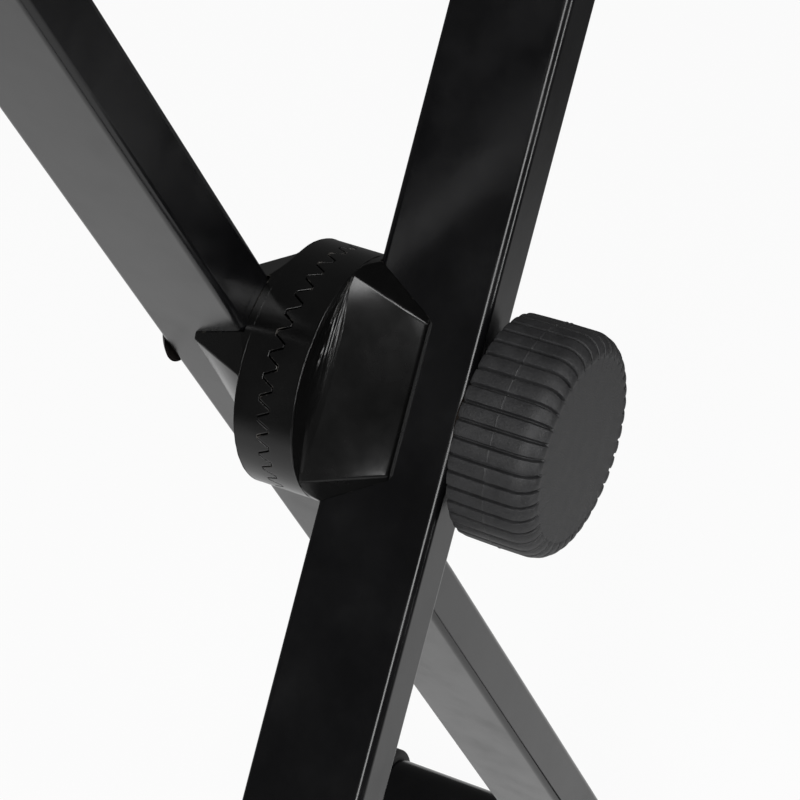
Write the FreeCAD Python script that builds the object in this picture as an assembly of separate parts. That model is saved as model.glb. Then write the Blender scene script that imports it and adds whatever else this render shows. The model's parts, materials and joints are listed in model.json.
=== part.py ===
import FreeCAD, Part
import math
import os

# Folding keyboard stand: two legs cross at a toothed clutch, which a knob on the pivot bolt clamps.
# Frame: millimetres, +Z up, origin on the floor under the pivot. The pivot axis lies along Y, with the
# knob on the -Y side. The front leg leans to +X at its top and the rear leg to -X.
#
# Each leg is modelled upright in leg coordinates: Z runs along the leg from the pivot, X runs across it,
# and Y is the distance from the plane where the teeth meet, outwards to the far side of the leg.

# How the stand is set
SPREAD_DEG = 63.5

# Leg tubes
LEG_DEPTH = 40.0
LEG_WIDTH = 20.0
LEG_WALL = 1.5
LEG_CORNER = 2.5
LOWER_LEG = 560.0
UPPER_LEG = 500.0
LEG_GAP = 25.0

# Clutch cups and their teeth
CUP_RADIUS = 40.0
CUP_SHEET = 2.5
SHOULDER_HEIGHT = 10.3
SHOULDER_WIDTH = 10.0
FACET_CORNER_DEG = 33.4
FACET_TOP_LENGTH = 48.8
CUP_CLIMB = 22.0
CUP_LIP = 2.0
CUP_ROUNDING = 1.5
TOOTH_COUNT = 36
TOOTH_HEIGHT = 3.6
TOOTH_TIP = 1.3
TOOTH_CLEARANCE = 0.25
TOOTH_RING_DEPTH = 5.2

# Pivot bolt, its sleeves, washer and spring
BOLT_DIAMETER = 10.0
BOLT_LENGTH = 130.0
BOLT_HEAD_DIAMETER = 24.65
BOLT_HEAD_HEIGHT = 5.4
BOLT_NECK_LENGTH = 6.0
BOLT_NECK_ACROSS = 12.6
PIVOT_CLEARANCE = 0.08
HOLE_CLEARANCE = 0.3
THREAD_CLEARANCE = 0.05
FRONT_SLEEVE_DIAMETER = 14.0
REAR_SLEEVE_WALL = 0.9
WASHER_DIAMETER = 30.0
WASHER_THICKNESS = 2.0
SPRING_WIRE = 1.6
SPRING_MEAN_DIAMETER = 19.0
SPRING_TURNS = 6
SPRING_SEAT = 0.1
SPRING_END_GAP = 0.16

# Clamp knob
KNOB_RADIUS = 36.0
KNOB_DEPTH = 28.3
KNOB_FACE_RADIUS = 30.0
KNOB_EDGE_DEPTH = 7.0
KNOB_STANDOFF = 6.5
KNOB_WALL = 4.0
KNOB_RIBS = 40
KNOB_GROOVE_WIDTH = 2.0
KNOB_GROOVE_DEPTH = 0.9
HUB_DIAMETER = 34.0
INSERT_DIAMETER = 16.0
INSERT_LENGTH = 18.0
INSERT_INSET = 1.5
BOLT_TIP_ROOM = 8.0

# Foot bars and upper arms, both round tube along Y
FOOT_BAR_DIAMETER = 32.0
FOOT_BAR_LENGTH = 340.0
ARM_DIAMETER = 28.0
ARM_LENGTH = 340.0
BAR_WALL = 1.5

# Rubber caps, rubber sleeves and end plugs
CAP_WALL = 4.0
CAP_REACH = 32.0
CAP_END = 6.0
CAP_ROUNDING = 2.5
SLEEVE_WALL = 4.5
SLEEVE_FROM_END = 8.0
SLEEVE_FROM_SADDLE = 4.5
SLEEVE_GROOVES = 9
SLEEVE_GROOVE_DEPTH = 1.2
SLEEVE_GROOVE_WIDTH = 3.0
PLUG_HEAD = 3.5
PLUG_RIM = 1.4
PLUG_REACH = 14.0

# Saddles that carry the bars, and the bolts through them
SADDLE_SHEET = 2.5
SADDLE_LENGTH = 80.0
SADDLE_HALF_DEG = 72.0
BAR_BOLT_DIAMETER = 6.0
BAR_BOLT_SPACING = 58.0
BAR_BOLT_HEAD_DIAMETER = 14.0
BAR_BOLT_HEAD_HEIGHT = 3.2
BAR_BOLT_TAIL = 2.0
BAR_WASHER_DIAMETER = 12.5
BAR_WASHER_THICKNESS = 1.6
BAR_NUT_FLATS = 10.0
BAR_NUT_HEIGHT = 6.0

# Worked out from the sizes above
HALF_SPREAD_DEG = SPREAD_DEG / 2
CAP_RADIUS = FOOT_BAR_DIAMETER / 2 + CAP_WALL
PIVOT_HEIGHT = LOWER_LEG * math.cos(math.radians(HALF_SPREAD_DEG)) + CAP_RADIUS
LEG_NEAR = LEG_GAP / 2
LEG_FAR = LEG_NEAR + LEG_DEPTH
LEG_MIDDLE = LEG_NEAR + LEG_DEPTH / 2
CUP_TOP = LEG_NEAR + CUP_CLIMB
KNOB_SEAT = LEG_FAR + WASHER_THICKNESS
KNOB_BACK = KNOB_SEAT + KNOB_STANDOFF
KNOB_FRONT = KNOB_BACK + KNOB_DEPTH
BOLT_TIP = BOLT_LENGTH - LEG_FAR

SAME = 0.01
ORIGIN = FreeCAD.Vector(0, 0, 0)
ALONG_X = FreeCAD.Vector(1, 0, 0)
ALONG_Y = FreeCAD.Vector(0, 1, 0)
ALONG_Z = FreeCAD.Vector(0, 0, 1)


def place(shape, side, lean=True):
    """Take a shape from leg coordinates to the stand: the front leg is the rear leg turned round."""
    placed = shape.copy()
    if side == "front":
        placed.rotate(ORIGIN, ALONG_Z, 180)
    if lean:
        direction = 1 if side == "front" else -1
        placed.rotate(ORIGIN, ALONG_Y, direction * HALF_SPREAD_DEG)
    placed.translate(FreeCAD.Vector(0, 0, PIVOT_HEIGHT))
    return placed


def export(name, shape):
    shape.exportStep(os.path.join("parts", name + ".step"))


def round_bar(diameter, low, high, middle=(0.0, 0.0)):
    """A cylinder along Y from low to high, with its axis at the given X and Z."""
    base = FreeCAD.Vector(middle[0], low, middle[1])
    return Part.makeCylinder(diameter / 2, high - low, base, ALONG_Y)


def round_post(diameter, low, high, y=0.0):
    """A cylinder along Z from low to high at the given Y."""
    return Part.makeCylinder(diameter / 2, high - low, FreeCAD.Vector(0, y, low), ALONG_Z)


def block(width, low, high, bottom, top):
    """A box centred on X, from low to high in Y and from bottom to top in Z."""
    corner = FreeCAD.Vector(-width / 2, low, bottom)
    return Part.makeBox(width, high - low, top - bottom, corner)


def turned_about_y(profile):
    """Revolve a closed wire or a list of (radius, y) points about the Y axis."""
    if isinstance(profile, list):
        points = [FreeCAD.Vector(radius, y, 0) for radius, y in profile]
        profile = Part.makePolygon(points + points[:1])
    return Part.Face(profile).revolve(ORIGIN, ALONG_Y, 360)


# Leg tubes

def leg_blank(inset, bottom, top):
    """The leg's outside with inset 0, or its inside with the wall as inset."""
    blank = block(LEG_WIDTH - 2 * inset, LEG_NEAR + inset, LEG_FAR - inset, bottom, top)
    upright = [edge for edge in blank.Edges if abs(edge.tangentAt(0).z) > 1 - SAME]
    return blank.makeFillet(LEG_CORNER - inset, upright)


def leg_tube(side):
    tube = leg_blank(0, -LOWER_LEG, UPPER_LEG).cut(leg_blank(LEG_WALL, -LOWER_LEG, UPPER_LEG))
    for bar_diameter, height in ((FOOT_BAR_DIAMETER, -LOWER_LEG), (ARM_DIAMETER, UPPER_LEG)):
        saddle_diameter = bar_diameter + 2 * SADDLE_SHEET
        tube = tube.cut(round_bar(saddle_diameter, 0, LEG_FAR + LEG_DEPTH, (0, height)))
    if side == "front":
        return tube.cut(round_bar(FRONT_SLEEVE_DIAMETER, 0, LEG_FAR + LEG_DEPTH))
    tube = tube.cut(round_bar(BOLT_DIAMETER + 2 * HOLE_CLEARANCE, 0, LEG_MIDDLE))
    neck_hole = BOLT_DIAMETER + 2 * HOLE_CLEARANCE
    return tube.cut(block(neck_hole, LEG_MIDDLE, LEG_FAR + LEG_WALL, -neck_hole / 2, neck_hole / 2))


# Clutch cups: a toothed rim, a shoulder, and a faceted bowl that climbs the leg's two sides

def end_reach(corner, top_corner, leg_edge, height):
    """How far along the leg the plane through three points lies at X = 0 and the given height."""
    normal = (top_corner - corner).cross(leg_edge - corner)
    return (normal.dot(corner) - normal.y * height) / normal.z


def bowl_outline(height, corner_x, corner_z, middle_x, end_z):
    """Closed wire of six edges: two sides, curved where middle_x stands out, and two points at the ends."""
    def at(x, z):
        return FreeCAD.Vector(x, height, z)

    edges = []
    for sign in (1, -1):
        start = at(sign * corner_x, sign * corner_z)
        finish = at(sign * corner_x, -sign * corner_z)
        end = at(0, -sign * end_z)
        if middle_x > corner_x:
            edges.append(Part.Arc(start, at(sign * middle_x, 0), finish).toShape())
        else:
            edges.append(Part.makeLine(start, finish))
        edges.append(Part.makeLine(finish, end))
        edges.append(Part.makeLine(end, at(-sign * corner_x, -sign * corner_z)))
    return Part.Wire(edges)


def pressed_edges(form):
    """The edges that pressing leaves rounded: round the top, down the facets' corners, and at their feet."""
    edges = []
    for edge in form.Edges:
        middle = edge.valueAt((edge.FirstParameter + edge.LastParameter) / 2)
        from_axis = math.hypot(middle.x, middle.z)
        at_top = abs(middle.y - CUP_TOP) < SAME
        at_foot = abs(middle.y - SHOULDER_HEIGHT) < SAME and from_axis < CUP_RADIUS - SHOULDER_WIDTH / 2
        on_corner = SHOULDER_HEIGHT < middle.y < CUP_TOP and from_axis < CUP_RADIUS - SAME
        if at_top or (at_foot or on_corner) and abs(middle.x) > SAME:
            edges.append(edge)
    return edges


def cup_form(inset):
    """The cup's outside with inset 0 and pressed edges, or its inside with the sheet as inset."""
    radius = CUP_RADIUS - inset
    shoulder = SHOULDER_HEIGHT - inset
    top = CUP_TOP - inset
    corner_turn = math.radians(FACET_CORNER_DEG)
    corner = FreeCAD.Vector(radius * math.sin(corner_turn), shoulder, radius * math.cos(corner_turn))
    top_x = LEG_WIDTH / 2 + CUP_LIP - inset
    top_corner = FreeCAD.Vector(top_x, top, FACET_TOP_LENGTH / 2 - inset)
    edge_z = math.sqrt(radius ** 2 - top_corner.x ** 2)
    leg_edge = FreeCAD.Vector(top_corner.x, LEG_NEAR - inset, edge_z)
    low = bowl_outline(shoulder, corner.x, corner.z, radius - SHOULDER_WIDTH,
                       end_reach(corner, top_corner, leg_edge, shoulder))
    high = bowl_outline(top, top_corner.x, top_corner.z, top_corner.x,
                        end_reach(corner, top_corner, leg_edge, top))
    bowl = Part.makeLoft([low, high], True, True)
    bowl = bowl.common(round_bar(2 * radius, shoulder, top))
    rim = round_bar(2 * radius, -TOOTH_HEIGHT / 2, shoulder)
    form = rim.fuse(bowl).removeSplitter()
    return form if inset else form.makeFillet(CUP_ROUNDING, pressed_edges(form))


def tooth_gaps(first_deg, direction):
    """Cutters between the teeth. The gap narrows along Y in the given direction, +1 or -1."""
    pitch = 2 * math.pi * CUP_RADIUS / TOOTH_COUNT
    mouth = (pitch - TOOTH_TIP) / 2 + TOOTH_CLEARANCE
    root = TOOTH_TIP / 2 + TOOTH_CLEARANCE
    half_height = TOOTH_HEIGHT / 2
    outline = [(-mouth, -2 * half_height), (mouth, -2 * half_height), (mouth, -half_height),
               (root, half_height + TOOTH_CLEARANCE), (-root, half_height + TOOTH_CLEARANCE),
               (-mouth, -half_height)]
    inner = CUP_RADIUS - 2 * CUP_SHEET
    points = [FreeCAD.Vector(x, direction * y, inner) for x, y in outline]
    cutter = Part.Face(Part.makePolygon(points + points[:1])).extrude(ALONG_Z * 3 * CUP_SHEET)
    cutters = []
    for index in range(TOOTH_COUNT):
        turned = cutter.copy()
        turned.rotate(ORIGIN, ALONG_Y, first_deg + index * 360 / TOOTH_COUNT)
        cutters.append(turned)
    return Part.makeCompound(cutters)


def cup(side):
    """The rear cup has its teeth, and the front cup stops where its ring of teeth begins."""
    shell = cup_form(0).cut(cup_form(CUP_SHEET))
    shell = shell.cut(block(LEG_WIDTH, LEG_NEAR, CUP_TOP + CUP_CLIMB, -2 * CUP_RADIUS, 2 * CUP_RADIUS))
    if side == "rear":
        return shell.cut(tooth_gaps(0, 1))
    return shell.cut(round_bar(3 * CUP_RADIUS, -CUP_RADIUS, TOOTH_RING_DEPTH))


def front_clutch_teeth():
    """The front cup's rim, built against the rear cup so that it is in mesh with it."""
    rim = round_bar(2 * CUP_RADIUS, -TOOTH_RING_DEPTH, TOOTH_HEIGHT / 2)
    rim = rim.cut(round_bar(2 * (CUP_RADIUS - CUP_SHEET), -CUP_RADIUS, CUP_RADIUS))
    return rim.cut(tooth_gaps(180 / TOOTH_COUNT, -1))


# Pivot

def pivot_bolt():
    """Coach bolt with a domed head behind the rear leg and a square neck in its wall."""
    shank = round_bar(BOLT_DIAMETER, -BOLT_TIP, LEG_FAR)
    neck = block(BOLT_DIAMETER, LEG_FAR - BOLT_NECK_LENGTH, LEG_FAR, -BOLT_DIAMETER / 2, BOLT_DIAMETER / 2)
    neck = neck.common(round_bar(BOLT_NECK_ACROSS, LEG_FAR - BOLT_NECK_LENGTH, LEG_FAR))
    rim_radius = BOLT_HEAD_DIAMETER / 2
    dome_radius = (rim_radius ** 2 + BOLT_HEAD_HEIGHT ** 2) / (2 * BOLT_HEAD_HEIGHT)
    dome_centre = FreeCAD.Vector(0, LEG_FAR + BOLT_HEAD_HEIGHT - dome_radius, 0)
    dome = Part.makeSphere(dome_radius, dome_centre)
    head = dome.common(round_bar(BOLT_HEAD_DIAMETER, LEG_FAR, LEG_FAR + BOLT_HEAD_HEIGHT))
    return shank.fuse([neck, head]).removeSplitter()


def rear_pivot_sleeve():
    """Spacer that keeps the rear leg's walls apart. It clears the bolt's neck."""
    low = LEG_NEAR + LEG_WALL
    high = LEG_FAR - LEG_WALL
    bore = BOLT_NECK_ACROSS + 2 * HOLE_CLEARANCE
    return round_bar(bore + 2 * REAR_SLEEVE_WALL, low, high).cut(round_bar(bore, low, high))


def front_pivot_sleeve():
    bore = BOLT_DIAMETER + 2 * PIVOT_CLEARANCE
    return round_bar(FRONT_SLEEVE_DIAMETER, LEG_NEAR, LEG_FAR).cut(round_bar(bore, LEG_NEAR, LEG_FAR))


def thrust_washer():
    bore = BOLT_DIAMETER + 2 * PIVOT_CLEARANCE
    return round_bar(WASHER_DIAMETER, LEG_FAR, KNOB_SEAT).cut(round_bar(bore, LEG_FAR, KNOB_SEAT))


def biarc(start, start_tangent, finish, finish_tangent):
    """Two arcs that leave start and reach finish along the given unit tangents."""
    chord = finish - start
    sum_tangent = start_tangent + finish_tangent
    straightness = 2 * (1 - start_tangent.dot(finish_tangent))
    reach = chord.dot(sum_tangent)
    handle = (math.sqrt(reach ** 2 + straightness * chord.dot(chord)) - reach) / straightness
    first_handle = start + start_tangent * handle
    second_handle = finish - finish_tangent * handle
    join = (first_handle + second_handle) * 0.5
    arcs = []
    for low, corner, high in ((start, first_handle, join), (join, second_handle, finish)):
        half_chord = (high - low) * 0.5
        towards = corner - low - half_chord
        bow = half_chord.Length * math.tan(math.atan2(towards.Length, half_chord.Length) / 2)
        middle = low + half_chord + towards.normalize() * bow
        arcs.append(Part.Arc(low, middle, high).toShape())
    return arcs


def release_spring():
    """Compression spring with closed ends, between the two legs' inner faces."""
    radius = SPRING_MEAN_DIAMETER / 2
    low = -LEG_NEAR + SPRING_WIRE / 2 + SPRING_SEAT
    high = -low
    end_rise = SPRING_WIRE + SPRING_END_GAP
    open_pitch = (high - low - 2 * end_rise) / (SPRING_TURNS - 2)

    def height(turns):
        if turns <= 1:
            return low + end_rise * turns
        if turns >= SPRING_TURNS - 1:
            return high - end_rise * (SPRING_TURNS - turns)
        return low + end_rise + open_pitch * (turns - 1)

    def point(turns):
        angle = 2 * math.pi * turns
        return FreeCAD.Vector(radius * math.cos(angle), height(turns), radius * math.sin(angle))

    def tangent(turns):
        angle = 2 * math.pi * turns
        step = SAME
        rise = (height(turns + step) - height(turns - step)) / (2 * step) / (2 * math.pi)
        return FreeCAD.Vector(-radius * math.sin(angle), rise, radius * math.cos(angle)).normalize()

    arcs = []
    for quarter in range(4 * SPRING_TURNS):
        start = quarter / 4
        finish = start + 1 / 4
        arcs += biarc(point(start), tangent(start), point(finish), tangent(finish))
    path = Part.Wire(arcs)
    section = Part.Wire(Part.Circle(point(0), tangent(0), SPRING_WIRE / 2).toShape())
    return path.makePipeShell([section], True, False)


# Knob

def knob_profile(inset):
    """Half of the knob's outside, from its axis, with its round front edge."""
    radius = KNOB_RADIUS - inset
    face = KNOB_FRONT - inset
    edge_start = FreeCAD.Vector(radius, face - KNOB_EDGE_DEPTH, 0)
    edge_finish = FreeCAD.Vector(KNOB_FACE_RADIUS, face, 0)
    bulge = 1 - math.sqrt(0.5)
    edge_middle = FreeCAD.Vector(radius - (radius - KNOB_FACE_RADIUS) * bulge,
                                 face - KNOB_EDGE_DEPTH * bulge, 0)
    back_outer = FreeCAD.Vector(radius, KNOB_BACK, 0)
    back_axis = FreeCAD.Vector(0, KNOB_BACK, 0)
    face_axis = FreeCAD.Vector(0, face, 0)
    return Part.Wire([
        Part.makeLine(back_axis, back_outer),
        Part.makeLine(back_outer, edge_start),
        Part.Arc(edge_start, edge_middle, edge_finish).toShape(),
        Part.makeLine(edge_finish, face_axis),
        Part.makeLine(face_axis, back_axis),
    ])


def knob_grooves():
    """One thin ring-shaped cutter per groove between the ribs, following the round front edge."""
    outside = turned_about_y(knob_profile(-KNOB_GROOVE_DEPTH))
    core = turned_about_y(knob_profile(KNOB_GROOVE_DEPTH))
    keep_face = round_bar(2 * KNOB_FACE_RADIUS, KNOB_BACK, KNOB_FRONT + KNOB_DEPTH)
    slab = block(KNOB_GROOVE_WIDTH, 0, KNOB_FRONT + KNOB_DEPTH, 0, 2 * KNOB_RADIUS)
    cutter = outside.cut(core).cut(keep_face).common(slab)
    cutters = []
    for index in range(KNOB_RIBS):
        turned = cutter.copy()
        turned.rotate(ORIGIN, ALONG_Y, index * 360 / KNOB_RIBS)
        cutters.append(turned)
    return Part.makeCompound(cutters)


def knob_body():
    body = turned_about_y(knob_profile(0)).cut(knob_grooves())
    cavity_top = KNOB_FRONT - KNOB_WALL
    cavity = round_bar(2 * (KNOB_RADIUS - KNOB_WALL), KNOB_BACK, cavity_top - KNOB_EDGE_DEPTH)
    hub = round_bar(HUB_DIAMETER, KNOB_SEAT, cavity_top)
    body = body.cut(cavity).fuse(hub)
    body = body.cut(round_bar(INSERT_DIAMETER, KNOB_SEAT, KNOB_SEAT + INSERT_INSET + INSERT_LENGTH))
    bolt_room = BOLT_DIAMETER + 2 * HOLE_CLEARANCE
    return body.cut(round_bar(bolt_room, KNOB_SEAT, KNOB_SEAT + INSERT_INSET + INSERT_LENGTH + BOLT_TIP_ROOM))


def knob_insert():
    low = KNOB_SEAT + INSERT_INSET
    bore = BOLT_DIAMETER + 2 * THREAD_CLEARANCE
    return round_bar(INSERT_DIAMETER, low, low + INSERT_LENGTH).cut(round_bar(bore, low, low + INSERT_LENGTH))


# Bars, and what is fastened to them. A bar is centred on Y = 0 in the stand.

def bar_bolt_places():
    return [LEG_MIDDLE - BAR_BOLT_SPACING / 2, LEG_MIDDLE + BAR_BOLT_SPACING / 2]


def bar(diameter, length, height):
    """Round tube across the end of a leg, with the bolt holes."""
    tube = round_bar(diameter, -length / 2, length / 2, (0, height))
    tube = tube.cut(round_bar(diameter - 2 * BAR_WALL, -length / 2, length / 2, (0, height)))
    for y in bar_bolt_places():
        hole = BAR_BOLT_DIAMETER + 2 * HOLE_CLEARANCE
        tube = tube.cut(round_post(hole, height - diameter, height + diameter, y))
    return tube


def saddle(bar_diameter, height, direction):
    """Curved plate welded to the leg's end. direction points from the bar towards the pivot."""
    low = LEG_MIDDLE - SADDLE_LENGTH / 2
    high = LEG_MIDDLE + SADDLE_LENGTH / 2
    outer = bar_diameter + 2 * SADDLE_SHEET
    plate = round_bar(outer, low, high, (0, height)).cut(round_bar(bar_diameter, low, high, (0, height)))
    reach = bar_diameter
    half_turn = math.radians(SADDLE_HALF_DEG)
    side_x = 2 * reach * math.sin(half_turn)
    side_z = direction * 2 * reach * math.cos(half_turn)
    outline = [(0, 0), (side_x, side_z), (side_x, direction * 3 * reach),
               (-side_x, direction * 3 * reach), (-side_x, side_z)]
    points = [FreeCAD.Vector(x, low, height + z) for x, z in outline]
    sector = Part.Face(Part.makePolygon(points + points[:1])).extrude(ALONG_Y * SADDLE_LENGTH)
    plate = plate.common(sector)
    for y in bar_bolt_places():
        hole = BAR_BOLT_DIAMETER + 2 * HOLE_CLEARANCE
        plate = plate.cut(round_post(hole, height - 2 * reach, height + 2 * reach, y))
    return plate


def end_pieces(piece, length, height):
    """The same turned piece at both ends of a bar. It is modelled at Y = 0 with outwards as +Y."""
    pieces = []
    for turn in (0, 180):
        placed = piece.copy()
        placed.translate(FreeCAD.Vector(0, length / 2, 0))
        placed.rotate(ORIGIN, ALONG_Z, turn)
        placed.translate(FreeCAD.Vector(0, 0, height))
        pieces.append(placed)
    return Part.makeCompound(pieces)


def foot_caps():
    """Rubber cups over the foot bar's ends, which stand on the floor."""
    outside = round_bar(2 * CAP_RADIUS, -CAP_REACH, CAP_END)
    rims = [edge for edge in outside.Edges if edge.isClosed()]
    outside = outside.makeFillet(CAP_ROUNDING, rims)
    cap = outside.cut(round_bar(FOOT_BAR_DIAMETER, -2 * CAP_REACH, 0))
    return end_pieces(cap, FOOT_BAR_LENGTH, -LOWER_LEG)


def arm_sleeves():
    """Ribbed rubber sleeves near the arm's ends, clear of the saddle, on which the keyboard lies."""
    inner = ARM_DIAMETER / 2
    outer = inner + SLEEVE_WALL
    start = LEG_MIDDLE + SADDLE_LENGTH / 2 + SLEEVE_FROM_SADDLE - ARM_LENGTH / 2
    finish = -SLEEVE_FROM_END
    step = (finish - start) / (SLEEVE_GROOVES + 1)
    profile = [(inner, start), (outer, start)]
    for index in range(1, SLEEVE_GROOVES + 1):
        middle = start + index * step
        bottom = outer - SLEEVE_GROOVE_DEPTH
        profile += [(outer, middle - SLEEVE_GROOVE_WIDTH / 2), (bottom, middle - SLEEVE_GROOVE_WIDTH / 4),
                    (bottom, middle + SLEEVE_GROOVE_WIDTH / 4), (outer, middle + SLEEVE_GROOVE_WIDTH / 2)]
    profile += [(outer, finish), (inner, finish)]
    return end_pieces(turned_about_y(profile), ARM_LENGTH, UPPER_LEG)


def arm_plugs():
    """Plastic plugs that close the arm's ends, with a low domed head."""
    stem = round_bar(ARM_DIAMETER - 2 * BAR_WALL, -PLUG_REACH, 0)
    head = round_bar(ARM_DIAMETER, 0, PLUG_HEAD)
    outer_rim = [edge for edge in head.Edges if edge.isClosed() and edge.CenterOfMass.y > PLUG_HEAD / 2]
    head = head.makeFillet(PLUG_HEAD - PLUG_RIM, outer_rim)
    return end_pieces(stem.fuse(head).removeSplitter(), ARM_LENGTH, UPPER_LEG)


def bar_fasteners():
    """Bolts, washers and lock nuts of one leg: two through the foot bar and two through the arm."""
    bolts = []
    washers = []
    nuts = []
    joints = ((FOOT_BAR_DIAMETER, -LOWER_LEG, 1), (ARM_DIAMETER, UPPER_LEG, -1))
    for bar_diameter, height, direction in joints:
        head_seat = -bar_diameter / 2
        washer_seat = bar_diameter / 2 + SADDLE_SHEET
        nut_seat = washer_seat + BAR_WASHER_THICKNESS
        nut_top = nut_seat + BAR_NUT_HEIGHT
        shank = round_post(BAR_BOLT_DIAMETER, head_seat, nut_top + BAR_BOLT_TAIL)
        head_radius = BAR_BOLT_HEAD_DIAMETER / 2
        dome_radius = (head_radius ** 2 + BAR_BOLT_HEAD_HEIGHT ** 2) / (2 * BAR_BOLT_HEAD_HEIGHT)
        dome_centre = FreeCAD.Vector(0, 0, head_seat - BAR_BOLT_HEAD_HEIGHT + dome_radius)
        head = Part.makeSphere(dome_radius, dome_centre)
        head = head.common(round_post(BAR_BOLT_HEAD_DIAMETER, head_seat - BAR_BOLT_HEAD_HEIGHT, head_seat))
        bolt = shank.fuse(head).removeSplitter()
        washer_hole = BAR_BOLT_DIAMETER + 2 * HOLE_CLEARANCE
        washer = round_post(BAR_WASHER_DIAMETER, washer_seat, nut_seat)
        washer = washer.cut(round_post(washer_hole, washer_seat, nut_seat))
        corner = BAR_NUT_FLATS / math.sqrt(3)
        hexagon = [FreeCAD.Vector(corner * math.cos(turn), corner * math.sin(turn), nut_seat)
                   for turn in (index * math.pi / 3 for index in range(6))]
        nut = Part.Face(Part.makePolygon(hexagon + hexagon[:1])).extrude(ALONG_Z * BAR_NUT_HEIGHT)
        nut = nut.cut(round_post(BAR_BOLT_DIAMETER + 2 * THREAD_CLEARANCE, nut_seat, nut_top))
        for y in bar_bolt_places():
            for piece, group in ((bolt, bolts), (washer, washers), (nut, nuts)):
                placed = piece.copy()
                if direction < 0:
                    placed.rotate(ORIGIN, ALONG_X, 180)
                placed.translate(FreeCAD.Vector(0, y, height))
                group.append(placed)
    return Part.makeCompound(bolts), Part.makeCompound(washers), Part.makeCompound(nuts)


os.makedirs("parts", exist_ok=True)

for side in ("rear", "front"):
    bolts, washers, nuts = bar_fasteners()
    pieces = {
        "leg_tube": leg_tube(side),
        "clutch_cup": cup(side),
        "foot_bar": bar(FOOT_BAR_DIAMETER, FOOT_BAR_LENGTH, -LOWER_LEG),
        "foot_caps": foot_caps(),
        "foot_saddle": saddle(FOOT_BAR_DIAMETER, -LOWER_LEG, 1),
        "arm": bar(ARM_DIAMETER, ARM_LENGTH, UPPER_LEG),
        "arm_sleeves": arm_sleeves(),
        "arm_plugs": arm_plugs(),
        "arm_saddle": saddle(ARM_DIAMETER, UPPER_LEG, -1),
        "bar_bolts": bolts,
        "bar_washers": washers,
        "bar_nuts": nuts,
    }
    for name, shape in pieces.items():
        export(side + "_" + name, place(shape, side))

export("rear_pivot_sleeve", place(rear_pivot_sleeve(), "rear"))
export("front_pivot_sleeve", place(front_pivot_sleeve(), "front"))
export("front_clutch_teeth", place(front_clutch_teeth(), "rear"))
export("pivot_bolt", place(pivot_bolt(), "rear"))
export("release_spring", place(release_spring(), "rear", lean=False))
export("thrust_washer", place(thrust_washer(), "front"))
export("knob_body", place(knob_body(), "front", lean=False))
export("knob_insert", place(knob_insert(), "front", lean=False))
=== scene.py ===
import json
import math

import bmesh
import bpy
from mathutils import Matrix, Vector, noise


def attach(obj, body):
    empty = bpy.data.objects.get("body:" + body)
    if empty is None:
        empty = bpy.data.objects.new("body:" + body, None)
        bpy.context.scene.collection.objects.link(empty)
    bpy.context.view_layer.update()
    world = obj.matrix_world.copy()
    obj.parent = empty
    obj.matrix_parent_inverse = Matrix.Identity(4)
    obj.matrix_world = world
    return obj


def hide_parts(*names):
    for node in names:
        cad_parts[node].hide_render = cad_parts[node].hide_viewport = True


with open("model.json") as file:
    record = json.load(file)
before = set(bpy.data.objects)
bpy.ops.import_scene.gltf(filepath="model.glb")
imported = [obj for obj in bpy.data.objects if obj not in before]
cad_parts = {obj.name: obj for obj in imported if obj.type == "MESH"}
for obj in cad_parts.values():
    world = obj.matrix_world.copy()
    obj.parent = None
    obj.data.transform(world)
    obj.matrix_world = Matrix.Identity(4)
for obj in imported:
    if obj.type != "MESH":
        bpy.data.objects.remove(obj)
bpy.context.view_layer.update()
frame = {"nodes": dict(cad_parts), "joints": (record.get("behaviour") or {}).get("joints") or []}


# ---------------------------------------------------------------------------------------------
# Camera: high on the left, close to the pivot, where the two legs cross. The photograph is a
# long-lens close-up, so the legs run out of its frame at the top and at the bottom.

CAMERA_AZIMUTH = math.radians(61.49)
CAMERA_ELEVATION = math.radians(35.73)
CAMERA_DISTANCE = 1.03802
CAMERA_TO_THE_RIGHT = 0.0230
CAMERA_DOWN = 0.00956
FOCAL_LENGTH = 148.32
SENSOR_WIDTH = 36

fold = next(joint for joint in frame["joints"] if joint["name"] == "fold")
PIVOT = Vector(fold["pos_m"])

towards_camera = Vector((-math.sin(CAMERA_AZIMUTH) * math.cos(CAMERA_ELEVATION),
                         -math.cos(CAMERA_AZIMUTH) * math.cos(CAMERA_ELEVATION),
                         math.sin(CAMERA_ELEVATION)))
camera_right = Vector((math.cos(CAMERA_AZIMUTH), -math.sin(CAMERA_AZIMUTH), 0))
camera_up = towards_camera.cross(camera_right)

lens = bpy.data.cameras.new("long_lens")
lens.sensor_width = SENSOR_WIDTH
lens.lens = FOCAL_LENGTH
lens.clip_start = 0.05
lens.clip_end = 60
camera = bpy.data.objects.new("camera", lens)
turn = Matrix((camera_right, camera_up, towards_camera)).transposed().to_4x4()
place = (PIVOT + towards_camera * CAMERA_DISTANCE + camera_right * CAMERA_TO_THE_RIGHT
         - camera_up * CAMERA_DOWN)
camera.matrix_world = Matrix.Translation(place) @ turn
bpy.context.scene.collection.objects.link(camera)
bpy.context.scene.camera = camera
bpy.context.scene.view_settings.view_transform = "Standard"


# ---------------------------------------------------------------------------------------------
# Leg tubes: cold-rolled rectangular steel tube, 40 x 20 mm, with rolled corners, drilled at the pivot
# and coped at its ends. Legs, foot bars, arms and their saddles are sprayed after welding with a gloss
# black stoving enamel.

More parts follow.
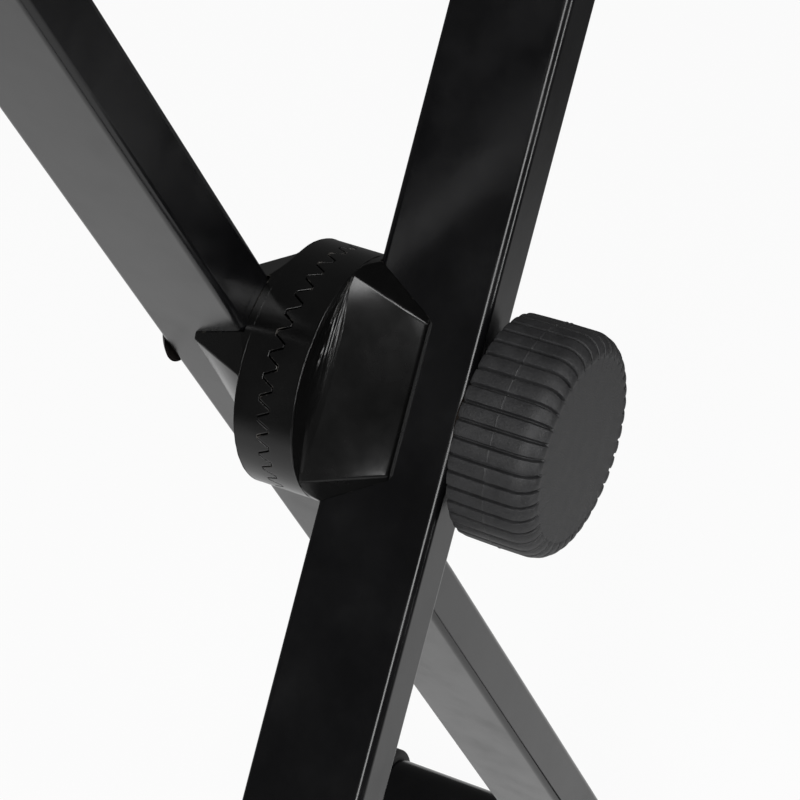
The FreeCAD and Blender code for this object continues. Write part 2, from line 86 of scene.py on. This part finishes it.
ENAMEL_IOR = 1.42
DUST_CLOUD_MM = 28
DUST_SPECK_SPACING_MM = 16
DUST_SPECK_EDGE = (0.010, 0.016)  # shares of the spacing, so a speck is about 0.4 mm across
DUST_SPECK = "2C2C2C"
# Pale grey painted on edges in patches: partly rubbed enamel, partly a painted highlight for light glinting
# along sharp edges such as the teeth and the cup rims.
RUBBED_ENAMEL_AND_EDGE_GLINT = "55524E"
EDGE_PATCH_MM = 5
SLOW_RIPPLE_MM = 16
ORANGE_PEEL_MM = 1.4
ORANGE_PEEL_DEPTH = 0.000006
JOINT_REACH_MM = 0.9


def hex_colour(text):
    """sRGB hex to the linear colour that a shader takes."""
    channels = [int(text[i:i + 2], 16) / 255 for i in (0, 2, 4)]
    linear = [c / 12.92 if c <= 0.04045 else ((c + 0.055) / 1.055) ** 2.4 for c in channels]
    return (*linear, 1)


def add(tree, kind, inputs=None, **settings):
    """A shader node with its settings. An input is a value, or the socket it is linked to."""
    node = tree.nodes.new(kind)
    for name, value in settings.items():
        setattr(node, name, value)
    for name, value in (inputs or {}).items():
        if isinstance(value, bpy.types.NodeSocket):
            tree.links.new(value, node.inputs[name])
        else:
            node.inputs[name].default_value = value
    return node


def new_material(name):
    """A material with an empty tree, and the coordinates of the piece in millimetres."""
    material = bpy.data.materials.new(name)
    material.use_nodes = True
    tree = material.node_tree
    tree.nodes.clear()
    coordinates = add(tree, "ShaderNodeTexCoord")
    millimetres = add(tree, "ShaderNodeVectorMath",
                      {0: coordinates.outputs["Object"], 1: (1000, 1000, 1000)}, operation="MULTIPLY")
    return material, tree, millimetres.outputs[0]


def ramp(tree, factor, low, high, colours):
    """Maps factor from low..high to the two colours or values."""
    node = add(tree, "ShaderNodeValToRGB", {"Fac": factor})
    for element, position, colour in zip(node.color_ramp.elements, (low, high), colours):
        element.position = position
        element.color = colour if isinstance(colour, tuple) else (colour, colour, colour, 1)
    return node.outputs["Color"]


def pale_edges(tree, millimetres, radius, patch_size, joint_y=None):
    """1 along an edge in patches and 0 elsewhere, and the normal with its edges rounded. The pale colour
    painted where it is 1 stands for rubbed paint, and on the enamel also for a painted highlight of light
    glinting along the edge. No edge is rounded along joint_y, where two nodes stand for one pressing."""
    bevel = add(tree, "ShaderNodeBevel", {"Radius": radius}, samples=8)
    geometry = add(tree, "ShaderNodeNewGeometry")
    flat = geometry.outputs["Normal"]
    rounded = bevel.outputs["Normal"]
    if joint_y is not None:
        where = add(tree, "ShaderNodeSeparateXYZ", {0: millimetres})
        joint = add(tree, "ShaderNodeMath", {0: where.outputs["Y"], 1: joint_y, 2: JOINT_REACH_MM},
                    operation="COMPARE")
        rounded = add(tree, "ShaderNodeMix", {"Factor": joint.outputs[0], "A": rounded, "B": flat},
                      data_type="VECTOR").outputs["Result"]
    same = add(tree, "ShaderNodeVectorMath", {0: rounded, 1: flat}, operation="DOT_PRODUCT")
    patches = add(tree, "ShaderNodeTexNoise", {"Vector": millimetres, "Scale": 1 / patch_size, "Detail": 6,
                                               "Roughness": 0.7})
    edge = ramp(tree, same.outputs["Value"], 0.90, 0.985, (1.0, 0.0))
    patch = ramp(tree, patches.outputs["Fac"], 0.52, 0.62, (0.0, 1.0))
    pale_edge = add(tree, "ShaderNodeMath", {0: edge, 1: patch}, operation="MULTIPLY").outputs[0]
    return pale_edge, rounded


def sprayed_enamel(name, colour, dusty, roughness, ripple, edge_radius, joint_y=None):
    """Sprayed black enamel on steel: a slow ripple, orange peel, faint dust, and edges painted pale, partly
    as rubbed enamel and partly as a painted highlight where light glints along them.
    """
    material, tree, millimetres = new_material(name)
    pale_edge, rounded = pale_edges(tree, millimetres, edge_radius, EDGE_PATCH_MM, joint_y)
    clouds = add(tree, "ShaderNodeTexNoise", {"Vector": millimetres, "Scale": 1 / DUST_CLOUD_MM, "Detail": 5,
                                              "Roughness": 0.62})
    specks = add(tree, "ShaderNodeTexVoronoi", {"Vector": millimetres, "Scale": 1 / DUST_SPECK_SPACING_MM,
                                                "Randomness": 1})
    speck = ramp(tree, specks.outputs["Distance"], *DUST_SPECK_EDGE, (1.0, 0.0))
    tint = ramp(tree, clouds.outputs["Fac"], 0.35, 0.75, (hex_colour(colour), hex_colour(dusty)))
    tint = add(tree, "ShaderNodeMix", {"Factor": speck, "A": tint, "B": hex_colour(DUST_SPECK)},
               data_type="RGBA").outputs["Result"]
    # Pale grey painted along the edges: partly rubbed enamel, partly a painted highlight for light glinting
    # along the teeth and rims.
    tint = add(tree, "ShaderNodeMix", {"Factor": pale_edge, "A": tint, "B": hex_colour(RUBBED_ENAMEL_AND_EDGE_GLINT)},
               data_type="RGBA").outputs["Result"]
    dull = ramp(tree, clouds.outputs["Fac"], 0.35, 0.7, (roughness, roughness + 0.14))
    peel = add(tree, "ShaderNodeTexNoise", {"Vector": millimetres, "Scale": 1 / ORANGE_PEEL_MM, "Detail": 2})
    slow = add(tree, "ShaderNodeTexNoise", {"Vector": millimetres, "Scale": 1 / SLOW_RIPPLE_MM, "Detail": 2})
    low = add(tree, "ShaderNodeBump", {"Height": slow.outputs["Fac"], "Distance": ripple, "Strength": 1,
                                       "Normal": rounded})
    fine = add(tree, "ShaderNodeBump", {"Height": peel.outputs["Fac"], "Distance": ORANGE_PEEL_DEPTH,
                                        "Strength": 1, "Normal": low.outputs["Normal"]})
    shader = add(tree, "ShaderNodeBsdfPrincipled", {"Base Color": tint, "Roughness": dull, "IOR": ENAMEL_IOR,
                                                    "Normal": fine.outputs["Normal"]})
    add(tree, "ShaderNodeOutputMaterial", {"Surface": shader.outputs["BSDF"]})
    return material


def finish_node(name, material):
    """Gives a CAD node its material."""
    cad = frame["nodes"][name]
    if not cad.material_slots:
        cad.data.materials.append(material)
    for slot in cad.material_slots:
        slot.material = material


# Gloss stoving enamel, sprayed: deep black with a wet sheen. The ripple that rolling leaves in the
# tube's sides bends what it mirrors, and the orange peel only breaks up the edges of a reflection.
gloss_enamel = sprayed_enamel("gloss_stoving_enamel_sprayed", colour="070708", dusty="0E0E0F",
                              roughness=0.13, ripple=0.00006, edge_radius=0.0004)
for side in ("rear", "front"):
    for piece in ("leg_tube", "foot_bar", "arm", "foot_saddle", "arm_saddle"):
        finish_node(side + "_" + piece, gloss_enamel)


# ---------------------------------------------------------------------------------------------
# Clutch cups and teeth: deep-drawn 2.5 mm steel cups with a toothed rim, welded round the legs and
# enamelled with them. The press leaves a hollow at the foot of each facet, marked where the sheet
# dragged over the tool, and the enamel gathers in a bead along the sharp rim.

MILLIMETRE = 0.001
LEG_LEAN = math.radians(31.75)
CUP_RADIUS = 40.0
SHOULDER = 10.3
TEETH_JOINT = -5.2  # where the front cup's toothed rim meets the rest of it

# The facet's foot is an arc between two corners on the rim, through FACET_MIDDLE. FACET_TOP is the upper
# end of its crest: across the leg, outwards and along it.
FACET_CORNER = math.radians(33.4)
FACET_MIDDLE = 30.0
FACET_TOP = (12.0, 34.5, 24.4)
HOLLOW_REACH = 0.95  # of the way from the facet's foot to the rim
HOLLOW_CLIMB = 0.6  # of that reach, up the facet
HOLLOW_STEPS = 60
HOLLOW_STEPS_ACROSS = 30
HOLLOW_ENDS = 12
SUNK = Vector((0, -0.03, 0))  # keeps the hollow's edges just under the cup's surface
SUNK_BACK = 0.05
DRAG_DEPTH = 0.32
DRAG_SPACING = 0.7
BEAD_RADIUS = {"front": 0.4, "rear": 0.2}
BEAD_SUNK = 0.6
BEAD_STEPS = 180
BEAD_SIDES = 8

# Stoving enamel on drawn steel: satin black, because the drawn sheet under it is less smooth than the
# rolled tube. Over the drag marks it keeps their narrow edges, and each one catches the light as a line.
cup_enamel = sprayed_enamel("satin_stoving_enamel_on_drawn_steel", colour="060606", dusty="0C0C0C",
                            roughness=0.17, ripple=0.00005, edge_radius=0.0005, joint_y=TEETH_JOINT)
dragged_enamel = sprayed_enamel("satin_stoving_enamel_over_drag_marks", colour="060606", dusty="0C0C0C",
                                roughness=0.15, ripple=0.00005, edge_radius=0.0001)
for cup in ("rear_clutch_cup", "front_clutch_cup", "front_clutch_teeth"):
    finish_node(cup, cup_enamel)


def leg_to_stand(leg):
    """From leg coordinates in millimetres (across, outwards, along) to the stand in metres."""
    half_turn = Matrix.Rotation(math.pi if leg == "front" else 0, 4, "Z")
    lean = Matrix.Rotation(LEG_LEAN if leg == "front" else -LEG_LEAN, 4, "Y")
    return Matrix.Translation(PIVOT) @ lean @ half_turn @ Matrix.Scale(MILLIMETRE, 4)


def skin(rings, count, joined=False):
    """Faces from each closed ring of vertices to the next, and from the last to the first if joined."""
    return [(i * count + k, i * count + (k + 1) % count,
             (i + 1) % rings * count + (k + 1) % count, (i + 1) % rings * count + k)
            for i in range(rings if joined else rings - 1) for k in range(count)]


def add_piece(name, vertices, faces, material, body):
    """A mesh piece in the frame of the stand that rides on a CAD body."""
    mesh = bpy.data.meshes.new(name)
    mesh.from_pydata(vertices, [], faces)
    built = bmesh.new()
    built.from_mesh(mesh)
    bmesh.ops.remove_doubles(built, verts=built.verts, dist=1e-7)
    bmesh.ops.recalc_face_normals(built, faces=built.faces)
    built.to_mesh(mesh)
    built.free()
    mesh.materials.append(material)
    piece = bpy.data.objects.new(name, mesh)
    bpy.context.scene.collection.objects.link(piece)
    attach(piece, body)
    return piece


def shade(piece, degrees):
    """Smooth shading, but creased where two faces meet at more than this."""
    for polygon in piece.data.polygons:
        polygon.use_smooth = True
    piece.data.set_sharp_from_angle(angle=math.radians(degrees))


def drawn_radius(leg, side):
    """The hollow that the press leaves at the foot of a facet, widest at its middle. Its drag marks are
    deepest in its upper half."""
    corner = Vector((CUP_RADIUS * math.sin(FACET_CORNER), CUP_RADIUS * math.cos(FACET_CORNER)))
    rise = FACET_MIDDLE - corner.x
    arc = (corner.y ** 2 + rise ** 2) / (2 * rise)
    centre = FACET_MIDDLE - arc
    end = math.asin(corner.y / arc)
    vertices = []
    for i in range(HOLLOW_STEPS + 1):
        share = -1 + 2 * i / HOLLOW_STEPS
        angle = end * share
        foot = Vector((centre + arc * math.cos(angle), SHOULDER, arc * math.sin(angle)))
        crest = Vector((FACET_TOP[0], FACET_TOP[1], FACET_TOP[2] * share))
        outwards = Vector((math.cos(angle), 0, math.sin(angle)))
        drop = foot.dot(outwards)
        to_rim = -drop + math.sqrt(drop ** 2 - foot.x ** 2 - foot.z ** 2 + CUP_RADIUS ** 2)
        reach = HOLLOW_REACH * to_rim * min(1, HOLLOW_ENDS * (1 - abs(share)))
        low = foot + outwards * reach + SUNK
        high = foot + (crest - foot).normalized() * HOLLOW_CLIMB * reach + SUNK
        dragged = min(1, max(0.1, 2.5 * share + 0.4))
        section = []
        for k in range(HOLLOW_STEPS_ACROSS + 1):
            t = k / HOLLOW_STEPS_ACROSS
            scratch = noise.noise(Vector((k * DRAG_SPACING, share * 3, 5)))
            drag = scratch * DRAG_DEPTH * dragged * math.sin(math.pi * t)
            lifted = (outwards + Vector((0, 1, 0))) * drag
            section.append(low * (1 - t) ** 2 + foot * 2 * t * (1 - t) + high * t ** 2 + lifted)
        section.append(foot + SUNK - outwards * SUNK_BACK)
        vertices += [Vector((side * v.x, v.y, v.z)) for v in section]
    rings = HOLLOW_STEPS + 1
    count = HOLLOW_STEPS_ACROSS + 2
    faces = skin(rings, count)
    faces += [tuple(range(count)), tuple(range((rings - 1) * count, rings * count))]
    turn = leg_to_stand(leg)
    name = leg + "_cup_drawn_radius_" + ("a" if side > 0 else "b")
    hollow = add_piece(name, [turn @ v for v in vertices], faces, dragged_enamel, leg + "_leg")
    shade(hollow, 60)


def rim_bead(leg):
    """The enamel draws back from the cup's sharp rim as it bakes, and leaves a bead round it, uneven in
    slow swells and short runs."""
    radius = BEAD_RADIUS[leg]
    vertices = []
    for i in range(BEAD_STEPS):
        angle = 2 * math.pi * i / BEAD_STEPS
        outwards = Vector((math.cos(angle), 0, math.sin(angle)))
        thick = radius * (1 + 0.45 * noise.noise(outwards * 9) + 0.25 * noise.noise(outwards * 31))
        centre = outwards * (CUP_RADIUS - radius * BEAD_SUNK) + Vector((0, SHOULDER - radius * BEAD_SUNK, 0))
        for k in range(BEAD_SIDES):
            turned = 2 * math.pi * k / BEAD_SIDES
            vertices.append(centre + (outwards * math.cos(turned) + Vector((0, math.sin(turned), 0))) * thick)
    faces = skin(BEAD_STEPS, BEAD_SIDES, joined=True)
    turn = leg_to_stand(leg)
    bead = add_piece(leg + "_cup_rim_bead", [turn @ v for v in vertices], faces, dragged_enamel, leg + "_leg")
    shade(bead, 60)


for leg in ("rear", "front"):
    rim_bead(leg)
    for side in (1, -1):
        drawn_radius(leg, side)


# ---------------------------------------------------------------------------------------------
# Knob: injection-moulded glass-filled nylon, 72 mm across, with 40 ribs that wrap onto its round front
# edge. The two halves of the mould meet in a thin flash line, and the skin is finely spark-eroded.
# Distances along the bolt are in millimetres, from the plane in which the cups meet.

KNOB_RADIUS = 36.0
KNOB_FACE = 89.3
KNOB_FACE_RADIUS = 30.0
KNOB_BACK = 61.0
KNOB_EDGE = 7.0
KNOB_EDGE_STEPS = 12
KNOB_RIBS = 40
GROOVE_DEPTH = 1.35
FLASH_AT = 73.6
HOLLOW_RADIUS = 32.0
HOLLOW_END = 78.3
HUB_RADIUS = 17.0
HUB_BACK = 54.5
CHAMFER = 0.4
INSERT_RADIUS = 8.0
INSERT_END = 74.0
BORE_RADIUS = 5.3
BORE_END = 82.0
PLASTIC_IOR = 1.4
PLASTIC_EDGE = 0.0004
PLASTIC_MOTTLE_MM = 7
PLASTIC_GRAIN_MM = 0.6
PLASTIC_GRAIN_DEPTH = 0.00016
PALE_PATCH_MM = 2.5
PALE_PLASTIC = "4A4A4A"

# A groove across half a rib's pitch: the share of the pitch, and the share of the groove's depth there.
# Below zero the crown of the rib stands proud.
GROOVE = ((0.0, 1.0), (0.035, 0.97), (0.065, 0.82), (0.09, 0.5), (0.11, 0.17), (0.135, 0.02), (0.2, -0.03),
          (0.34, -0.09), (0.5, -0.12))

# The flat face, on which the grooves end abruptly: a radius, and the share of the groove's depth there.
FACE = ((0.0, 0.0), (12.0, 0.0), (22.0, 0.0), (KNOB_FACE_RADIUS - 0.9, 0.0), (KNOB_FACE_RADIUS - 0.45, 0.05),
        (KNOB_FACE_RADIUS - 0.2, 0.45))

# The ribbed side, from the edge of the face to the back: a distance, and how far it stands proud. The
# flash is 0.16 mm high, and the side behind it tapers so that the knob leaves the mould.
SIDE = ((79.5, 0), (76.5, 0), (FLASH_AT + 0.5, 0), (FLASH_AT + 0.18, 0), (FLASH_AT, 0.16),
        (FLASH_AT - 0.18, -0.06), (FLASH_AT - 0.5, -0.05), (70.5, -0.08), (66.0, -0.18), (62.2, -0.3),
        (61.35, -0.45), (KNOB_BACK, -0.9))

# The hollow back with its hub, and the bore for the bolt with its insert: a radius and a distance.
BACK = ((HOLLOW_RADIUS + CHAMFER, KNOB_BACK), (HOLLOW_RADIUS, KNOB_BACK + CHAMFER),
        (HOLLOW_RADIUS, HOLLOW_END), (HUB_RADIUS, HOLLOW_END),
        (HUB_RADIUS, HUB_BACK + CHAMFER), (HUB_RADIUS - CHAMFER, HUB_BACK),
        (INSERT_RADIUS, HUB_BACK), (INSERT_RADIUS, INSERT_END),
        (BORE_RADIUS, INSERT_END), (BORE_RADIUS, BORE_END), (0.0, BORE_END))


def moulded_plastic(name, low, high):
    """Dull moulded plastic with a fine spark-eroded grain, drawn at 0.6 mm so that it shows. It mottles
    softly between two tones, with a few pale flecks, and is rubbed paler along its edges."""
    material, tree, millimetres = new_material(name)
    pale_edge = pale_edges(tree, millimetres, PLASTIC_EDGE, PALE_PATCH_MM)[0]
    mottle = add(tree, "ShaderNodeTexNoise", {"Vector": millimetres, "Scale": 1 / PLASTIC_MOTTLE_MM,
                                              "Detail": 7, "Roughness": 0.72})
    grain = add(tree, "ShaderNodeTexNoise", {"Vector": millimetres, "Scale": 1 / PLASTIC_GRAIN_MM,
                                             "Detail": 3, "Roughness": 0.75})
    cloudy = add(tree, "ShaderNodeMix", {"Factor": 0.5, "A": mottle.outputs["Fac"],
                                         "B": grain.outputs["Fac"]}, data_type="FLOAT").outputs["Result"]
    tint = ramp(tree, cloudy, 0.38, 0.62, (hex_colour(low), hex_colour(high)))
    flecks = ramp(tree, grain.outputs["Fac"], 0.68, 0.74, (0.0, 1.0))
    rubbed = add(tree, "ShaderNodeMath", {0: flecks, 1: pale_edge}, operation="MAXIMUM").outputs[0]
    tint = add(tree, "ShaderNodeMix", {"Factor": rubbed, "A": tint, "B": hex_colour(PALE_PLASTIC)},
               data_type="RGBA").outputs["Result"]
    bump = add(tree, "ShaderNodeBump", {"Height": grain.outputs["Fac"], "Distance": PLASTIC_GRAIN_DEPTH,
                                        "Strength": 1})
    dull = ramp(tree, mottle.outputs["Fac"], 0.3, 0.75, (0.42, 0.56))
    shader = add(tree, "ShaderNodeBsdfPrincipled", {"Base Color": tint, "Roughness": dull,
                                                    "IOR": PLASTIC_IOR, "Normal": bump.outputs["Normal"]})
    add(tree, "ShaderNodeOutputMaterial", {"Surface": shader.outputs["BSDF"]})
    return material


def knob_outline():
    """Half of the knob's section, from the middle of its face round to its bore. Each point has its
    radius and distance, the share of a groove's depth there, and the direction in which it is cut."""
    points = [(radius, KNOB_FACE, depth, 0.0, 1.0) for radius, depth in FACE]
    width = KNOB_RADIUS - KNOB_FACE_RADIUS
    for step in range(KNOB_EDGE_STEPS + 1):
        angle = math.pi / 2 * step / KNOB_EDGE_STEPS
        normal = Vector((math.sin(angle) / width, math.cos(angle) / KNOB_EDGE)).normalized()
        points.append((KNOB_FACE_RADIUS + width * math.sin(angle),
                       KNOB_FACE - KNOB_EDGE + KNOB_EDGE * math.cos(angle),
                       min(1, 0.8 + step / KNOB_EDGE_STEPS), normal.x, normal.y))
    points += [(KNOB_RADIUS + proud, y, 1.0, 1.0, 0.0) for y, proud in SIDE]
    points += [(radius, y, 0.0, 0.0, 0.0) for radius, y in BACK]
    return points


outline = knob_outline()
whole_groove = GROOVE + tuple((1 - place, depth) for place, depth in reversed(GROOVE[1:-1]))
around = [(2 * math.pi * (rib + place) / KNOB_RIBS, depth)
          for rib in range(KNOB_RIBS) for place, depth in whole_groove]
vertices = []
for radius, y, depth, cut_radius, cut_y in outline:
    for angle, share in around:
        lowered = GROOVE_DEPTH * depth * share
        r = radius - lowered * cut_radius
        vertices.append(PIVOT + Vector((r * math.sin(angle), -(y - lowered * cut_y), r * math.cos(angle)))
                        * MILLIMETRE)

# Glass-filled nylon, moulded: charcoal and dull, paler than the enamel beside it.
knob_nylon = moulded_plastic("glass_filled_nylon_moulded", low="1D1D1E", high="2E2E2F")
knob = add_piece("knob_ribbed", vertices, skin(len(outline), len(around)), knob_nylon, "knob")
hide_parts("knob_body")
shade(knob, 42)


# ---------------------------------------------------------------------------------------------
# Pivot: a coach bolt runs through both legs, with spacer tubes inside them, a spring between them
# that parts the clutch, a thrust washer under the knob and a brass insert moulded into it.

METAL_STAIN_MM = 4
METAL_GRAIN_DEPTH = 0.00001


def plain_metal(name, colour, stained, roughness, grain_size):
    """Bare or plated steel or brass with a slight stain and a fine turned or tumbled grain."""
    material, tree, millimetres = new_material(name)
    stain = add(tree, "ShaderNodeTexNoise", {"Vector": millimetres, "Scale": 1 / METAL_STAIN_MM,
                                             "Detail": 6, "Roughness": 0.65})
    tint = ramp(tree, stain.outputs["Fac"], 0.35, 0.75, (hex_colour(colour), hex_colour(stained)))
    dull = ramp(tree, stain.outputs["Fac"], 0.3, 0.8, (roughness, roughness + 0.15))
    grain = add(tree, "ShaderNodeTexNoise", {"Vector": millimetres, "Scale": 1 / grain_size, "Detail": 3})
    bump = add(tree, "ShaderNodeBump", {"Height": grain.outputs["Fac"], "Distance": METAL_GRAIN_DEPTH,
                                        "Strength": 1})
    shader = add(tree, "ShaderNodeBsdfPrincipled", {"Base Color": tint, "Roughness": dull, "Metallic": 1,
                                                    "Normal": bump.outputs["Normal"]})
    add(tree, "ShaderNodeOutputMaterial", {"Surface": shader.outputs["BSDF"]})
    return material


# Black passivated zinc: a dark satin metal with a slight brown cast, on the bolts and washers.
black_zinc = plain_metal("black_passivated_zinc_on_steel", colour="2A2522", stained="3A332E",
                         roughness=0.38, grain_size=0.6)
# Drawn steel, oiled: grey and satin, with darker stains where the oil has dried.
bare_steel = plain_metal("drawn_steel_oiled", colour="8C8A86", stained="6A6763",
                         roughness=0.35, grain_size=0.4)
# Spring wire, oiled: darker and more polished than the drawn steel.
spring_steel = plain_metal("spring_steel_wire_oiled", colour="6E6C6A", stained="4A4744",
                           roughness=0.3, grain_size=0.4)
# Brass, turned: a warm yellow that has dulled a little.
brass = plain_metal("brass_turned", colour="B8954F", stained="927239", roughness=0.3, grain_size=0.4)
finish_node("pivot_bolt", black_zinc)
finish_node("thrust_washer", black_zinc)
finish_node("rear_pivot_sleeve", bare_steel)
finish_node("front_pivot_sleeve", bare_steel)
finish_node("release_spring", spring_steel)
finish_node("knob_insert", brass)


# ---------------------------------------------------------------------------------------------
# Ends of the bars: moulded rubber caps on the foot bars, ribbed rubber sleeves on the arms that grip
# the keyboard, and plastic plugs in the arms' ends. Bolts with washers and lock nuts hold the bars.

RUBBER_IOR = 1.52
RUBBER_DUST_MM = 12
RUBBER_GRAIN_MM = 0.8
RUBBER_GRAIN_DEPTH = 0.00008


def moulded_rubber():
    """Black natural rubber, moulded: matt, with a cloudy bloom of paler dust and a fine grain."""
    material, tree, millimetres = new_material("black_rubber_moulded")
    dust = add(tree, "ShaderNodeTexNoise", {"Vector": millimetres, "Scale": 1 / RUBBER_DUST_MM,
                                            "Detail": 7, "Roughness": 0.7})
    tint = ramp(tree, dust.outputs["Fac"], 0.35, 0.75, (hex_colour("161616"), hex_colour("242322")))
    grain = add(tree, "ShaderNodeTexNoise", {"Vector": millimetres, "Scale": 1 / RUBBER_GRAIN_MM,
                                             "Detail": 3})
    bump = add(tree, "ShaderNodeBump", {"Height": grain.outputs["Fac"], "Distance": RUBBER_GRAIN_DEPTH,
                                        "Strength": 1})
    shader = add(tree, "ShaderNodeBsdfPrincipled", {"Base Color": tint, "Roughness": 0.72, "IOR": RUBBER_IOR,
                                                    "Normal": bump.outputs["Normal"]})
    add(tree, "ShaderNodeOutputMaterial", {"Surface": shader.outputs["BSDF"]})
    return material


rubber = moulded_rubber()
# Polythene, moulded: near black, darker and more even than the nylon.
plug_plastic = moulded_plastic("black_polythene_moulded", low="141414", high="1C1C1C")
# Bright zinc plate: pale grey and bright, on the lock nuts.
bright_zinc = plain_metal("bright_zinc_plated_steel", colour="B4B7B8", stained="8E9192",
                          roughness=0.28, grain_size=0.5)
for side in ("rear", "front"):
    finish_node(side + "_foot_caps", rubber)
    finish_node(side + "_arm_sleeves", rubber)
    finish_node(side + "_arm_plugs", plug_plastic)
    finish_node(side + "_bar_bolts", black_zinc)
    finish_node(side + "_bar_washers", black_zinc)
    finish_node(side + "_bar_nuts", bright_zinc)


# ---------------------------------------------------------------------------------------------
# Studio: a white paper sweep under the stand, softboxes in front and at the left, and dark walls
# round them that only a glossy surface shows.

SWEEP = 20
PAPER_LIFT = 0.92
WALL_RADIUS = 3.0
WALL_HEIGHT = 2.6
WALL_MIDDLE = 0.001
WALL_ABOVE_PAPER = 0.0015
WALL_STEPS = 48
BRIGHT_PAPER_MM = 600
DARK_FROM_MM = 1050
THINNEST_VEIL = 0.28
WORLD_ON_OBJECT = 0.35


def stage_mesh(name, vertices, faces, material):
    """A piece of the studio, which isn't part of the stand."""
    mesh = bpy.data.meshes.new(name)
    mesh.from_pydata(vertices, [], faces)
    mesh.materials.append(material)
    piece = bpy.data.objects.new(name, mesh)
    bpy.context.scene.collection.objects.link(piece)
    return piece


def background_rays(tree):
    """1 for a ray from the camera, or one that a glossy or clear surface sends on."""
    path = add(tree, "ShaderNodeLightPath")
    either = add(tree, "ShaderNodeMath", {0: path.outputs["Is Camera Ray"], 1: path.outputs["Is Glossy Ray"]},
                 operation="MAXIMUM")
    return add(tree, "ShaderNodeMath", {0: either.outputs[0], 1: path.outputs["Is Transmission Ray"]},
               operation="MAXIMUM").outputs[0]


# White paper, matt: it is lifted to near white where it is seen, and still takes the stand's shadow.
paper, tree, _ = new_material("white_paper_sweep")
lift = add(tree, "ShaderNodeMath", {0: background_rays(tree), 1: PAPER_LIFT}, operation="MULTIPLY").outputs[0]
matt = add(tree, "ShaderNodeBsdfDiffuse", {"Color": hex_colour("F0F0F0")})
glow = add(tree, "ShaderNodeEmission", {"Color": (1, 1, 1, 1), "Strength": 1})
mixed = add(tree, "ShaderNodeMixShader", {0: lift, 1: matt.outputs[0], 2: glow.outputs[0]})
add(tree, "ShaderNodeOutputMaterial", {"Surface": mixed.outputs[0]})
stage_mesh("floor", [(-SWEEP, -SWEEP, 0), (SWEEP, -SWEEP, 0), (SWEEP, SWEEP, 0), (-SWEEP, SWEEP, 0)],
           [(0, 1, 2, 3)], paper)

# Dark walls, and a veil over the paper that thins towards the stand: the enamel mirrors bright paper
# close by, and a dark room farther off.
dark, tree, millimetres = new_material("dark_studio_wall")
dim = add(tree, "ShaderNodeEmission", {"Color": hex_colour("565656"), "Strength": 1})
away = add(tree, "ShaderNodeVectorMath", {0: millimetres}, operation="LENGTH").outputs["Value"]
veiled = add(tree, "ShaderNodeMapRange", {"Value": away, "From Min": BRIGHT_PAPER_MM,
                                          "From Max": DARK_FROM_MM, "To Min": THINNEST_VEIL,
                                          "To Max": 1.0}).outputs[0]
clear = add(tree, "ShaderNodeBsdfTransparent")
veil = add(tree, "ShaderNodeMixShader", {0: veiled, 1: clear.outputs[0], 2: dim.outputs[0]})
add(tree, "ShaderNodeOutputMaterial", {"Surface": veil.outputs[0]})
rings = [(WALL_MIDDLE, WALL_ABOVE_PAPER), (WALL_RADIUS, WALL_ABOVE_PAPER), (WALL_RADIUS, WALL_HEIGHT),
         (WALL_MIDDLE, WALL_HEIGHT)]
vertices = [(radius * math.cos(2 * math.pi * i / WALL_STEPS), radius * math.sin(2 * math.pi * i / WALL_STEPS),
             height) for radius, height in rings for i in range(WALL_STEPS)]
walls = stage_mesh("dark_studio", vertices, skin(len(rings), WALL_STEPS), dark)
walls.visible_camera = False
walls.visible_diffuse = False
walls.visible_shadow = False
walls.visible_transmission = False


def softbox(name, direction, distance, width, height, power):
    """A rectangular lamp that faces the pivot."""
    light = bpy.data.lights.new(name, "AREA")
    light.shape = "RECTANGLE"
    light.size = width
    light.size_y = height
    light.energy = power
    lamp = bpy.data.objects.new(name, light)
    lamp.location = PIVOT + Vector(direction).normalized() * distance
    lamp.rotation_euler = (PIVOT - lamp.location).to_track_quat("-Z", "Y").to_euler()
    lamp.visible_camera = False
    bpy.context.scene.collection.objects.link(lamp)


softbox("front_strip", (-0.056, -0.978, 0.196), distance=1.79, width=0.27, height=1.1, power=11)
softbox("front_top_softbox", (-0.15, -0.48, 0.87), distance=1.8, width=0.5, height=0.5, power=9)
softbox("left_softbox", (-0.88, -0.28, 0.40), distance=2.0, width=0.55, height=1.5, power=27)

world = bpy.data.worlds.new("studio")
bpy.context.scene.world = world
world.use_nodes = True
tree = world.node_tree
tree.nodes.clear()
level = add(tree, "ShaderNodeMapRange", {"Value": background_rays(tree), "To Min": WORLD_ON_OBJECT,
                                         "To Max": 1.0}).outputs[0]
sky = add(tree, "ShaderNodeBackground", {"Color": (1, 1, 1, 1), "Strength": level})
add(tree, "ShaderNodeOutputWorld", {"Surface": sky.outputs[0]})
